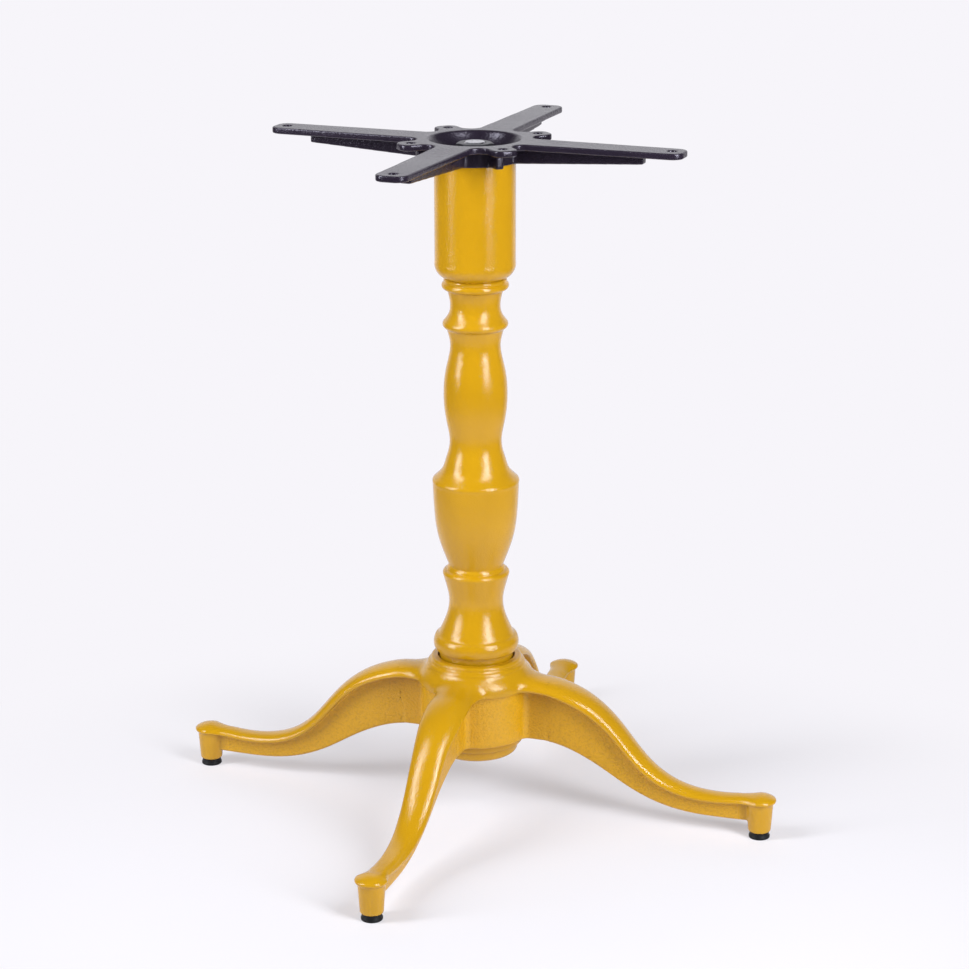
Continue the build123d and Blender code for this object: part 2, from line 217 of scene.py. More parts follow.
def newGroup(name, inputs, outputs):
    group = bpy.data.node_groups.new(name, "ShaderNodeTree")
    for label, value in inputs.items():
        socket = group.interface.new_socket(label, in_out="INPUT", socket_type="NodeSocketFloat")
        socket.default_value = value
    for label in outputs:
        group.interface.new_socket(label, in_out="OUTPUT", socket_type="NodeSocketFloat")
    return group, group.nodes.new("NodeGroupInput"), group.nodes.new("NodeGroupOutput")


def addNoise(tree, place, scale, detail, rough=0.5):
    noise = tree.nodes.new("ShaderNodeTexNoise")
    noise.inputs["Detail"].default_value = detail
    noise.inputs["Roughness"].default_value = rough
    tree.links.new(place, noise.inputs["Vector"])
    if isinstance(scale, (int, float)):
        noise.inputs["Scale"].default_value = scale
    else:
        tree.links.new(scale, noise.inputs["Scale"])
    return noise.outputs["Fac"]


def addMath(tree, operation, first, second):
    node = tree.nodes.new("ShaderNodeMath")
    node.operation = operation
    for value, socket in ((first, node.inputs[0]), (second, node.inputs[1])):
        if isinstance(value, (int, float)):
            socket.default_value = value
        else:
            tree.links.new(value, socket)
    return node.outputs[0]


# Scales are in waves per metre, heights in shares of the bump's depth.
castingMarks = {
    "peelDetail": 2.0,
    "grainDetail": 3.0,
    "grainRough": 0.6,
    "waveScale": 60.0,
    "waveHeight": 0.08,
    "driftScale": 9.0,
    "pitLevel": 0.62,  # grain lower than this counts as a pit
}


# Height = peel of the coat + grain of the sand mould where it shows + a faint wave. Tone drifts over the
# piece, and Pits is how far the grain lies below its level, which the yellow paint darkens as painted
# shade.
def paintedCastingGroup(m):
    group, given, result = newGroup(
        "paintedCasting",
        {"Peel Scale": 800.0, "Peel": 1.0, "Grain Scale": 330.0, "Grain": 1.0, "Cast": 0.0},
        ("Height", "Tone", "Pits"),
    )
    place = group.nodes.new("ShaderNodeTexCoord").outputs["Object"]
    peel = addNoise(group, place, given.outputs["Peel Scale"], m["peelDetail"])
    grain = addNoise(group, place, given.outputs["Grain Scale"], m["grainDetail"], m["grainRough"])
    wave = addNoise(group, place, m["waveScale"], m["peelDetail"])
    drift = addNoise(group, place, m["driftScale"], m["peelDetail"])
    peelHeight = addMath(group, "MULTIPLY", peel, given.outputs["Peel"])
    grainHeight = addMath(group, "MULTIPLY", grain, given.outputs["Grain"])
    grainHeight = addMath(group, "MULTIPLY", grainHeight, given.outputs["Cast"])
    waveHeight = addMath(group, "MULTIPLY", wave, m["waveHeight"])
    height = addMath(group, "ADD", addMath(group, "ADD", peelHeight, grainHeight), waveHeight)
    group.links.new(height, result.inputs["Height"])
    group.links.new(drift, result.inputs["Tone"])
    below = addMath(group, "SUBTRACT", m["pitLevel"], grain)
    pits = addMath(group, "MULTIPLY", below, given.outputs["Cast"])
    group.links.new(addMath(group, "MAXIMUM", pits, 0.0), result.inputs["Pits"])
    return group


handling = {
    "scuffDetail": 4.0,
    "scuffRough": 0.7,
    "fineScale": 1500.0,
    "fineDetail": 1.0,
}


# Scuffs = fine noise stretched along one axis, which breaks up an even shine.
def handlingGroup(h):
    group, given, result = newGroup(
        "handlingMarks", {"Scale": 90.0, "Stretch": 6.0}, ("Scuffs", "Height")
    )
    place = group.nodes.new("ShaderNodeTexCoord").outputs["Object"]
    spread = group.nodes.new("ShaderNodeCombineXYZ")
    spread.inputs[0].default_value = 1.0
    spread.inputs[1].default_value = 1.0
    group.links.new(given.outputs["Stretch"], spread.inputs[2])
    scaled = group.nodes.new("ShaderNodeVectorMath")
    scaled.operation = "MULTIPLY"
    group.links.new(place, scaled.inputs[0])
    group.links.new(spread.outputs[0], scaled.inputs[1])
    scuffs = addNoise(group, scaled.outputs[0], given.outputs["Scale"], h["scuffDetail"], h["scuffRough"])
    group.links.new(scuffs, result.inputs["Scuffs"])
    group.links.new(addNoise(group, place, h["fineScale"], h["fineDetail"]), result.inputs["Height"])
    return group


paintedCasting = paintedCastingGroup(castingMarks)
handlingMarks = handlingGroup(handling)
print("node groups built")


def newMaterial(name):
    material = bpy.data.materials.new(name)
    material.use_nodes = True
    tree = material.node_tree
    return material, tree, tree.nodes["Principled BSDF"]


def placeGroup(tree, group, **values):
    node = tree.nodes.new("ShaderNodeGroup")
    node.node_tree = group
    for label, value in values.items():
        node.inputs[label.replace("_", " ")].default_value = value
    return node


def addBump(tree, height, distance, shader):
    bump = tree.nodes.new("ShaderNodeBump")
    bump.inputs["Strength"].default_value = 1.0
    bump.inputs["Distance"].default_value = distance
    tree.links.new(height, bump.inputs["Height"])
    tree.links.new(bump.outputs["Normal"], shader.inputs["Normal"])


def mixColours(tree, factor, first, second):
    mix = tree.nodes.new("ShaderNodeMix")
    mix.data_type = "RGBA"
    tree.links.new(factor, mix.inputs["Factor"])
    for value, socket in ((first, mix.inputs["A"]), (second, mix.inputs["B"])):
        if isinstance(value, tuple):
            socket.default_value = (*value, 1)
        else:
            tree.links.new(value, socket)
    return mix.outputs["Result"]


def mapValue(tree, value, low, high, toLow, toHigh, kind="LINEAR"):
    node = tree.nodes.new("ShaderNodeMapRange")
    node.interpolation_type = kind
    for label, number in (("From Min", low), ("From Max", high), ("To Min", toLow), ("To Max", toHigh)):
        node.inputs[label].default_value = number
    tree.links.new(value, node.inputs["Value"])
    return node.outputs["Result"]


noiseSpread = (0.3, 0.7)  # most of a noise's values lie between these

yellowLook = {
    "deep": (0.475, 0.240, 0.0040),
    "bright": (0.530, 0.272, 0.005),
    # painted shade: the colour put into the low spots of the sand grain
    "pitPaintedShade": (0.36, 0.18, 0.006),
    # colour of the grain areas, lighter than the rest as painted light on the shaded webs and barrel
    "castWithPaintedLight": (0.61, 0.312, 0.004),
    "smoothShine": (0.09, 0.13),
    "castShine": 0.20,
    "gloss": 1.5,
    "bumpDepth": 0.00030,
    "peel": 1.1,
    "peelScale": 600.0,
    "grain": 3.4,
    "grainScale": 400.0,
    "pitRange": (0.08, 0.35),
    "pitShare": 0.5,
}


# Gloss paint, with a mask telling where the sand's grain shows through it; there the colour is also lifted
# as painted light on the webs and barrel, which lie in shade.
def yellowCoat(look):
    material, tree, shader = newMaterial("yellowCoat")
    casting = placeGroup(tree, paintedCasting, Peel=look["peel"], Peel_Scale=look["peelScale"],
                         Grain=look["grain"], Grain_Scale=look["grainScale"])
    mask = tree.nodes.new("ShaderNodeAttribute")
    mask.attribute_name = "castGrainAndPaintedLight"
    tree.links.new(mask.outputs["Fac"], casting.inputs["Cast"])
    tone = mapValue(tree, casting.outputs["Tone"], *noiseSpread, 0.0, 1.0)
    coat = mixColours(tree, tone, look["deep"], look["bright"])
    # painted light: the grain areas under the flange and the dome's rim are made lighter
    coat = mixColours(tree, mask.outputs["Fac"], coat, look["castWithPaintedLight"])
    # painted shade: the grain's low spots are darkened
    pits = mapValue(tree, casting.outputs["Pits"], *look["pitRange"], 0.0, look["pitShare"])
    tree.links.new(mixColours(tree, pits, coat, look["pitPaintedShade"]), shader.inputs["Base Color"])
    shine = mapValue(tree, casting.outputs["Tone"], *noiseSpread, *look["smoothShine"])
    rougher = addMath(tree, "MULTIPLY", mask.outputs["Fac"], look["castShine"])
    tree.links.new(addMath(tree, "ADD", shine, rougher), shader.inputs["Roughness"])
    addBump(tree, casting.outputs["Height"], look["bumpDepth"], shader)
    shader.inputs["IOR"].default_value = look["gloss"]
    return material


blackLook = {
    "deep": (0.011, 0.0075, 0.014),
    "dusty": (0.021, 0.0145, 0.026),
    "shine": (0.18, 0.28),
    "gloss": 1.52,
    "tint": (0.92, 0.85, 1.0),
    "bumpDepth": 0.00030,
    "peel": 0.6,
    "peelScale": 420.0,
    "grain": 1.3,
}


def blackCasting(look):
    material, tree, shader = newMaterial("blackCasting")
    casting = placeGroup(tree, paintedCasting, Peel=look["peel"], Peel_Scale=look["peelScale"],
                         Grain=look["grain"], Cast=1.0)
    tone = mapValue(tree, casting.outputs["Tone"], *noiseSpread, 0.0, 1.0)
    tree.links.new(mixColours(tree, tone, look["deep"], look["dusty"]), shader.inputs["Base Color"])
    shine = mapValue(tree, casting.outputs["Tone"], *noiseSpread, *look["shine"])
    tree.links.new(shine, shader.inputs["Roughness"])
    addBump(tree, casting.outputs["Height"], look["bumpDepth"], shader)
    shader.inputs["IOR"].default_value = look["gloss"]
    shader.inputs["Specular Tint"].default_value = (*look["tint"], 1)
    return material


handledLooks = {
    "zinc": {
        "name": "zincSteel",
        "dark": (0.46, 0.46, 0.49),
        "light": (0.70, 0.70, 0.72),
        "shine": (0.22, 0.40),
        "bumpDepth": 0.00002,
        "metallic": 1.0,
        "gloss": 1.5,
    },
    "blackSteel": {
        "name": "blackSteel",
        "dark": (0.028, 0.027, 0.032),
        "light": (0.075, 0.07, 0.08),
        "shine": (0.28, 0.45),
        "bumpDepth": 0.00003,
        "metallic": 0.4,
        "gloss": 1.5,
    },
    "plastic": {
        "name": "blackPlastic",
        "dark": (0.004, 0.004, 0.005),
        "light": (0.010, 0.010, 0.011),
        "shine": (0.40, 0.52),
        "bumpDepth": 0.00003,
        "metallic": 0.0,
        "gloss": 1.3,
    },
}
scuffSpread = (0.35, 0.65)  # scuffs turn from dark to light between these


def handledFinish(look):
    material, tree, shader = newMaterial(look["name"])
    marks = placeGroup(tree, handlingMarks)
    scuffs = mapValue(tree, marks.outputs["Scuffs"], *scuffSpread, 0.0, 1.0)
    tree.links.new(mixColours(tree, scuffs, look["dark"], look["light"]), shader.inputs["Base Color"])
    shine = mapValue(tree, marks.outputs["Scuffs"], *noiseSpread, *look["shine"])
    tree.links.new(shine, shader.inputs["Roughness"])
    addBump(tree, marks.outputs["Height"], look["bumpDepth"], shader)
    shader.inputs["Metallic"].default_value = look["metallic"]
    shader.inputs["IOR"].default_value = look["gloss"]
    return material


finishes = {"yellow": yellowCoat(yellowLook), "blackCast": blackCasting(blackLook)}
for key, look in handledLooks.items():
    finishes[key] = handledFinish(look)
print("materials built")


column = {
    "radius": 41.6,
    "seat": 164.0,
    "barrelRise": 430.0,
    "bore": 34.0,
    "barrel": 103.2,
    "boreStep": 4.2,
    "top": 697.2,
    "around": 160,
    "soft": 0.55,
    "crease": 50,
    "outline": [
        ("start", (0.9375, 0)),
        ("line", (0.9495, 0.0247), (1.0553, 0.0265)),
        ("arc", (1.0865, 0.0442), (1.0337, 0.0609)),
        ("line", (0.976, 0.0637), (0.9471, 0.067)),
        (
            "curve",
            (0.8462, 0.0884),
            (0.726, 0.1207),
            (0.6875, 0.1523),
            (0.7524, 0.1874),
            (0.8389, 0.2177),
        ),
        ("arc", (0.8438, 0.223), (0.7837, 0.2293)),
        ("line", (0.7356, 0.2309)),
        ("arc", (0.7284, 0.2358), (0.6947, 0.2405)),
        ("line", (0.6851, 0.2414)),
        (
            "curve",
            (0.8389, 0.2805),
            (0.9687, 0.3223),
            (1.0337, 0.3633),
            (1.0649, 0.4047),
            (1.0865, 0.4526),
        ),
        ("arc", (1.0913, 0.4586), (1.0529, 0.4642)),
        (
            "curve",
            (0.8413, 0.4865),
            (0.75, 0.5114),
            (0.6731, 0.5372),
            (0.6538, 0.5628),
            (0.7115, 0.597),
            (0.7788, 0.637),
            (0.7981, 0.6767),
            (0.7548, 0.7267),
            (0.6659, 0.7663),
            (0.6274, 0.7958),
            (0.7115, 0.8349),
        ),
        ("line", (0.7428, 0.8372)),
        ("arc", (0.8149, 0.8479), (0.7764, 0.8556)),
        ("curve", (0.6611, 0.8721), (0.625, 0.8977), (0.6971, 0.9307)),
        ("line", (0.7764, 0.933)),
        ("arc", (0.8341, 0.9414), (0.7885, 0.9493)),
        ("line", (0.7668, 0.9507)),
        ("arc", (0.7837, 0.9558), (0.738, 0.96)),
        ("line", (0.7572, 0.9605)),
        ("arc", (0.9471, 0.9749), (1, 1)),
    ],
    "core": [
        (0.7212, 0),
        (0.7212, 0.0558),
        (0.4447, 0.1209),
        (0.4447, 0.2512),
        (0.7692, 0.3488),
        (0.7933, 0.4372),
        (0.4447, 0.5256),
        (0.4207, 0.9302),
    ],
}


# Shares of the radius and of the barrel's height over the seat, as radius and height in mm.
def columnPlace(outward, rise):
    return outward * column["radius"], column["seat"] + rise * column["barrelRise"]


# The outline turned about the axis: the outside up, the top face in, the core down.
def buildColumn(c):
    outside = traceOutline(columnPlace, c["outline"])
    outside = np.concatenate([[(columnPlace(*c["core"][0])[0], c["seat"])], outside,
                              [(c["radius"], c["top"]), (c["bore"], c["top"])]])
    core = [(c["bore"], c["top"]), (c["bore"], c["top"] - c["barrel"] + c["boreStep"])]
    core += [columnPlace(*mark) for mark in reversed(c["core"])]
    outline = np.concatenate([softened(outside, c["soft"]), np.array(core)])
    points, quads = revolved(outline, c["around"])
    piece = makePiece("turnedColumn", points, quads, finishes["yellow"], crease=c["crease"])
    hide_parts("column")


buildColumn(column)
print("column turned")


casting = {
    "legs": 4,
    "footReach": 313.2,
    "domeRadius": 61.6,
    "domeRim": 137.3,
    "domeEdge": 2.2,
    "rimRound": 0.6,
    "socket": 39.7,
    "lip": 167.6,
    "underRings": 9.0,  # the skin's dome ends this far below the lip, where the rings cover it
    "ringRoom": 2.3,
    "barrel": 57.2,
    "barrelFoot": 79.8,
    "footRound": ((0.3, 0.985), (1.2, 0.997)),  # height over the barrel's foot, share of its plan
    "barrelRise": (3.0, 6.0),  # from so far over its foot to so far over the dome's rim
    "stub": (16.0, 8.0),  # the plan runs so far out along each web from the fillet's centre
    "stubInset": 0.7,
    "flangeFoot": 37.2,
    "flangeEdge": 2.2,
    "webHub": 8.2,
    "webFoot": 7.0,
    "webFootZ": 17.4,
    "webFillet": 8.0,
    "webCorner": 2.6,
    "webInside": 12.0,  # each web starts so far inside the barrel
    "draft": 1.2,
    "voxel": 1.05,
    "rounds": 6,
    "roundWeights": (0.5, -0.3),  # in and out by turns, so that nothing shrinks
    "legCut": 84.0,
    "domeOutline": [
        ("start", (0.0, 0.02)),
        ("line", (0.026, 0.0), (0.22, 0.01)),
        ("arc", (0.35, 0.04), (0.395, 0.136)),
        ("line", (0.41, 0.19)),
        ("arc", (0.525, 0.24), (0.585, 0.36)),
        ("line", (0.605, 0.41)),
        ("curve", (0.80, 0.56), (0.935, 0.70), (1.0, 1.0)),
    ],
    "flangeStations": [
        (-0.048, 1.004, 32.5, 20.0),
        (-0.020, 1.004, 27.2, 16.2),
        (0.006, 1.003, 23.9, 13.8),
        (0.040, 1.000, 22.2, 12.2),
        (0.092, 0.990, 22.4, 11.5),
        (0.152, 0.951, 22.4, 11.8),
        (0.222, 0.877, 21.4, 12.2),
        (0.288, 0.772, 19.5, 12.2),
        (0.351, 0.636, 17.9, 11.5),
        (0.431, 0.409, 16.7, 10.7),
        (0.486, 0.265, 16.0, 10.2),
        (0.550, 0.138, 15.3, 10.0),
        (0.614, 0.058, 14.3, 9.4),
        (0.689, 0.003, 13.5, 9.0),
        (0.773, -0.018, 12.6, 8.2),
        (0.868, -0.010, 12.0, 7.6),
        (0.932, 0.006, 12.3, 7.8),
        (0.966, 0.012, 14.0, 8.1),
    ],
    "webStations": [
        (0.058, 0.997),
        (0.137, 0.938),
        (0.220, 0.819),
        (0.296, 0.668),
        (0.434, 0.341),
        (0.566, 0.116),
        (0.690, 0.016),
        (0.810, -0.006),
        (0.950, 0.003),
    ],
}


# Shares of the way out from the socket to the rim and down from the lip to the rim's top.
def domePlace(outward, down):
    rimTop = casting["domeRim"] + casting["domeEdge"]
    out = casting["socket"] + outward * (casting["domeRadius"] - casting["socket"])
    return out, casting["lip"] - down * (casting["lip"] - rimTop)


# Distance from the axis by share of the way from the dome's radius to the foot.
def alongLeg(share):
    return casting["domeRadius"] + share * (casting["footReach"] - casting["domeRadius"])


# The flange's stations in mm: distance, height of its lower side, half width and thickness.
def flangeMarks(c):
    marks = np.array(c["flangeStations"])
    marks[:, 0] = alongLeg(marks[:, 0])
    marks[:, 1] = c["flangeFoot"] + marks[:, 1] * (c["domeRim"] - c["flangeFoot"])
    return marks


# A low arch carried along the S curve: half width times cosine across, thickness times sine
# up, with its lower edges rolled under. Rows lie square to the curve.
def flangeShell(c):
    reach, rise, half, thick = curveThrough(flangeMarks(c), 2.0).T[:, :, None]
    slope = np.arctan2(np.gradient(rise, axis=0), np.gradient(reach, axis=0))
    edge = c["flangeEdge"]
    over = np.linspace(0, pi, 33)[None, :]
    under = np.linspace(pi, 1.5 * pi, 6)[None, 1:]
    flat = np.linspace(-1, 1, 9)[None, 1:-1]
    rolled = edge + edge * np.sin(under)
    across = np.concatenate([half * np.cos(over), edge - half + edge * np.cos(under),
                             (half - edge) * flat, half - edge - edge * np.cos(under[:, ::-1])], axis=1)
    upward = np.concatenate([edge + (thick - edge) * np.sin(over), rolled + 0 * half,
                             0 * half * flat, rolled[:, ::-1] + 0 * half], axis=1)
    x = reach - np.sin(slope) * upward
    z = rise + np.cos(slope) * upward
    return closedEnds(np.stack([x, across, z], axis=-1))


# Adds a row at each end, drawn together to one point, so that the shell is closed.
def closedEnds(points):
    ends = [np.repeat(points[k].mean(axis=0)[None], points.shape[1], axis=0)[None] for k in (0, -1)]
    points = np.concatenate([ends[0], points, ends[1]])
    return points.reshape(-1, 3), gridQuads(points.shape[0], points.shape[1])


# The web's lower edge in mm: distance and height.
def webEdge(c):
    marks = np.array(c["webStations"])
    marks[:, 0] = alongLeg(marks[:, 0])
    marks[:, 1] = c["webFootZ"] + marks[:, 1] * (c["barrelFoot"] - c["webFootZ"])
    return curveThrough(marks, 1.0)


# Upright sections from the lower edge to a third of the flange's thickness, their width
# drafted downward and their lower corners rounded.
def webShell(c):
    flange = flangeMarks(c)
    inFlange = curveThrough(np.stack([flange[:, 0], flange[:, 1] + flange[:, 3] / 3], axis=1), 1.0)
    x = np.linspace(c["barrel"] - c["webInside"], c["footReach"], 150)[:, None]
    bottom = np.interp(x, *webEdge(c).T)
    top = np.interp(x, *inFlange.T)
    corner = c["webCorner"]
    quarter = np.linspace(0, 0.5 * pi, 6)[None, :]
    up = np.linspace(0, 1, 12)[None, 1:]
    rise = np.concatenate([bottom + corner * (1 - np.cos(quarter)),
                           bottom + corner + (top - bottom - corner) * up], axis=1)
    half = c["webHub"] + (c["webFoot"] - c["webHub"]) * x / c["footReach"]
    half = half - (c["domeRim"] - rise) * tan(radians(c["draft"]))
    inset = np.concatenate([corner * (1 - np.sin(quarter)), 0 * up], axis=1)
    side = half - inset
    z = np.concatenate([rise, rise[:, ::-1]], axis=1)
    y = np.concatenate([side, -side[:, ::-1]], axis=1)
    return closedEnds(np.stack([x + 0 * y, y, z], axis=-1))


# The barrel in plan with a round inner corner at each web, carried up its height. The
# corner's centre is one radius off both the barrel and the web's side, and a stub of the plan
# runs out along the web.
def barrelShell(c):
    half, fillet, radius = c["webHub"] - c["stubInset"], c["webFillet"], c["barrel"]
    centre = np.array([((radius + fillet) ** 2 - (half + fillet) ** 2) ** 0.5, half + fillet])
    start = np.arctan2(centre[1], centre[0])
    stub = np.array([[centre[0] + out, half] for out in c["stub"]])
    bend = np.linspace(-0.5 * pi, start - pi, 12)
    corner = centre + fillet * np.stack([np.cos(bend), np.sin(bend)], axis=1)
    sweep = np.linspace(start, 0.25 * pi, 16)[1:]
    curve = radius * np.stack([np.cos(sweep), np.sin(sweep)], axis=1)
    eighth = np.concatenate([stub, corner, curve])
    quarter = np.concatenate([eighth, eighth[::-1][1:, ::-1]])
    plan = np.concatenate([turned(np.column_stack([quarter, 0 * quarter[:, 0]]), k * 0.5 * pi)
                           for k in range(4)])[:, :2]
    lifts, shares = np.array(c["footRound"]).T
    low, high = c["barrelRise"]
    rise = np.linspace(c["barrelFoot"] + low, c["domeRim"] + high, 30)
    heights = np.concatenate([c["barrelFoot"] + lifts, rise])
    shrink = np.ones(len(heights))
    shrink[:len(shares)] = shares
    points = np.zeros((len(heights), len(plan), 3))
    points[:, :, :2] = plan[None] * shrink[:, None, None]
    points[:, :, 2] = heights[:, None]
    return closedEnds(points)


# The dome's sweep and rim as a closed turned shape; its rings are a piece of their own.
def domeShell(c):
    top = c["lip"] - c["underRings"]
    sweep = traceOutline(domePlace, c["domeOutline"])
    outline = np.concatenate([
        [(0, top), (c["socket"] + c["ringRoom"], top)],
        sweep[2:],
        [(c["domeRadius"], c["domeRim"] + c["rimRound"]), (c["domeRadius"] - c["rimRound"], c["domeRim"])],
        [(0, c["domeRim"])],
    ])
    return revolved(outline, 96)


foot = {
    "boss": 12.0,
    "bossTop": 14.0,
    "bossFoot": 7.3,
    "cap": 16.9,
    "capRim": 41.6,
    "crown": 6.4,
    "lip": 2.4,
    "lipAngle": 58.0,
    "under": 3.2,
    "edge": 1.6,
    "bore": 4.6,
    "boreTop": 33.4,
    "around": 72,
}


# Boss, lip and crown from the bore's top round the outside to the middle of the crown.
def footOutline(f):
    quarter = np.linspace(0, 0.5 * pi, 8)
    edge = np.stack([f["boss"] - f["edge"] + f["edge"] * np.sin(quarter),
                     f["bossFoot"] + f["edge"] * (1 - np.cos(quarter))], axis=1)
    sweep = np.linspace(-0.5 * pi, radians(f["lipAngle"]), 16)
    lip = np.stack([f["cap"] - f["lip"] + f["lip"] * np.cos(sweep),
                    f["capRim"] + f["lip"] * np.sin(sweep)], axis=1)
    top = f["capRim"] + f["crown"]
    crown = arcThrough(lip[-1], (lip[-1, 0] / 2, top - (top - lip[-1, 1]) / 4), (0, top))
    under = [(f["bossTop"], f["capRim"] - f["under"])]
    bore = [(0, f["boreTop"]), (f["bore"], f["boreTop"]), (f["bore"], f["bossFoot"])]
    return np.concatenate([bore, edge, under, lip, crown[1:]])


# Moves each vertex towards the mean of its neighbours by its weight.
def smoothedOnce(points, edges, counts, weight):
    total = np.zeros_like(points)
    for k in range(3):
        total[:, k] = (np.bincount(edges[:, 0], points[edges[:, 1], k], len(points))
                       + np.bincount(edges[:, 1], points[edges[:, 0], k], len(points)))
    return points + weight[:, None] * (total / counts[:, None] - points)


def meshArrays(mesh):
    points = np.zeros(len(mesh.vertices) * 3)
    mesh.vertices.foreach_get("co", points)
    edges = np.zeros(len(mesh.edges) * 2, int)
    mesh.edges.foreach_get("vertices", edges)
    edges = edges.reshape(-1, 2)
    counts = np.bincount(edges.ravel(), minlength=len(mesh.vertices)).clip(1)
    return points.reshape(-1, 3) / millimetre, edges, counts


# Makes one skin of overlapping shells.
def remeshed(piece, voxel):
    work = piece.modifiers.new("skin", "REMESH")
    work.mode = "VOXEL"
    work.voxel_size = voxel * millimetre
    bpy.context.view_layer.update()
    evaluated = piece.evaluated_get(bpy.context.evaluated_depsgraph_get())
    skin = bpy.data.meshes.new_from_object(evaluated)
    old = piece.data
    piece.modifiers.clear()
    piece.data = skin
    bpy.data.meshes.remove(old)
    return skin


# Distance along the nearest leg and offset across it.
def legPlace(points):
    x, y = points[:, 0], points[:, 1]
    return np.maximum(np.abs(x), np.abs(y)), np.minimum(np.abs(x), np.abs(y))


# 1 at low or less, 0 at high or more, and a smooth fall between.
def near(value, low, high):
    share = np.clip((high - value) / (high - low), 0, 1)
    return share * share * (3 - 2 * share)


# 0 at low or less, 1 at high or more, and a smooth rise between.
def far(value, low, high):
    return near(-value, -high, -low)


# Shares a skin out to a middle piece and one piece per arm, each closed by a face across
# the cut. The whole skin's normals are kept, so that no seam shows.
def sharedOut(piece, names, cut, finish, turn=0.0):
    mesh = piece.data
    points = meshArrays(mesh)[0]
    quads = np.zeros(len(mesh.loops), int)
    mesh.loops.foreach_get("vertex_index", quads)
    quads = quads.reshape(-1, 4)
    normals = np.zeros(len(points) * 3, np.float32)
    mesh.vertex_normals.foreach_get("vector", normals)
    normals = normals.reshape(-1, 3)
    grain = np.ones(len(points), np.float32)
    if "castGrainAndPaintedLight" in mesh.attributes:
        mesh.attributes["castGrainAndPaintedLight"].data.foreach_get("value", grain)
    middle = turned(points[quads].mean(axis=1), -turn)
    side = np.round(np.arctan2(middle[:, 1], middle[:, 0]) / (0.5 * pi)).astype(int) % 4 + 1
    owner = np.where(legPlace(middle)[0] > cut, side, 0)
    pieces = []
    for k, name in enumerate(names):
        used, local = np.unique(quads[owner == k], return_inverse=True)
        part = bpy.data.meshes.new(name)
        part.from_pydata((points[used] * millimetre).tolist(), [], local.reshape(-1, 4).tolist())
        part.attributes.new("castGrainAndPaintedLight", "FLOAT", "POINT").data.foreach_set("value", grain[used])
        work = bmesh.new()
        work.from_mesh(part)
        bmesh.ops.holes_fill(work, edges=[e for e in work.edges if e.is_boundary], sides=0)
        bmesh.ops.recalc_face_normals(work, faces=work.faces)
        work.to_mesh(part)
        work.free()
        shared = bpy.data.objects.new(name, part)
        bpy.context.scene.collection.objects.link(shared)
        finishPiece(shared, finish, "root")
        part.normals_split_custom_set_from_vertices(normals[used])
        pieces.append(shared)
    bpy.data.objects.remove(piece)
    bpy.data.meshes.remove(mesh)
    return pieces


# All the hub's and the legs' overlapping shells.
def castingShells(c, f):
    boss = revolved(footOutline(f), f["around"], (c["footReach"], 0))
    leg = [flangeShell(c), webShell(c), boss]
    shells = [(turned(points, k * 2 * pi / c["legs"]), quads)
              for k in range(c["legs"]) for points, quads in leg]
    return shells + [barrelShell(c), domeShell(c)]


# Where paint and the moulder's fillets ease the flange into the dome and into the foot's cap.
# Each pair is the ends of a smooth ramp in mm.
easing = {
    "rounds": 60,
    "weight": 0.6,
    "rootRadius": 62.0,
    "offRoot": (8.0, 22.0),
    "aside": (26.0, 36.0),
    "overRoot": (141.0, 146.0),
    "neckBack": 13.0,  # the neck lies so far inside the foot's centre
    "offNeck": (6.0, 13.0),
    "overNeck": (40.0, 43.0),
}


def easedFillets(points, edges, counts, c, e):
    reach, aside = legPlace(points)
    z = points[:, 2]
    offRoot = np.abs(np.hypot(points[:, 0], points[:, 1]) - e["rootRadius"])
    offNeck = np.abs(reach - c["footReach"] + e["neckBack"])
    root = near(offRoot, *e["offRoot"]) * near(aside, *e["aside"]) * far(z, *e["overRoot"])
    neck = near(offNeck, *e["offNeck"]) * far(z, *e["overNeck"])
    weight = e["weight"] * np.maximum(root, neck)
    for _ in range(e["rounds"]):
        points = smoothedOnce(points, edges, counts, weight)
    return points


# Parts of the skin that the hub's foot and the rings cover.
covered = {
    "coreRadius": 48.7,
    "coreBelow": 100.0,
    "coreTop": 150.8,
    "drop": 0.7,
    "dropRadius": (50.5, 52.5),
    "dropOver": (152.0, 154.0),
}


# The barrel's bottom face is lifted clear of the core, and the dome's top is lowered under
# the crisp rings.
def tuckedUnder(points, h):
    radius = np.hypot(points[:, 0], points[:, 1])
    points[(radius < h["coreRadius"]) & (points[:, 2] < h["coreBelow"]), 2] = h["coreTop"]
    points[:, 2] -= h["drop"] * near(radius, *h["dropRadius"]) * far(points[:, 2], *h["dropOver"])
    return points


# Ramps of the mask for the sand grain and for the painted light on the shaded webs and barrel.
sandGrainAndPaintedLight = {
    "underFlange": (-1.0, 0.6),  # ends of a ramp over the flange's lower edge
    "pastDome": 6.0,
    "rimBand": 1.0,
    "offFoot": (17.0, 24.0),
}


# 1 below the flange, and round the hub below the dome's rim, and 0 above them and at the feet. It marks the
# sand grain, and where the yellow is lifted as painted light.
def grainAndPaintedLightShare(points, c, g):
    radius = np.hypot(points[:, 0], points[:, 1])
    reach = legPlace(points)[0]
    edge = curveThrough(flangeMarks(c)[:, :2], 1.0)
    share = near(points[:, 2] - np.interp(reach, *edge.T), *g["underFlange"])
    underRim = near(points[:, 2], c["domeRim"] - g["rimBand"], c["domeRim"] + g["rimBand"])
    share = np.where(radius < c["domeRadius"] + g["pastDome"], underRim, share)
    return share * far(np.abs(reach - c["footReach"]), *g["offFoot"])


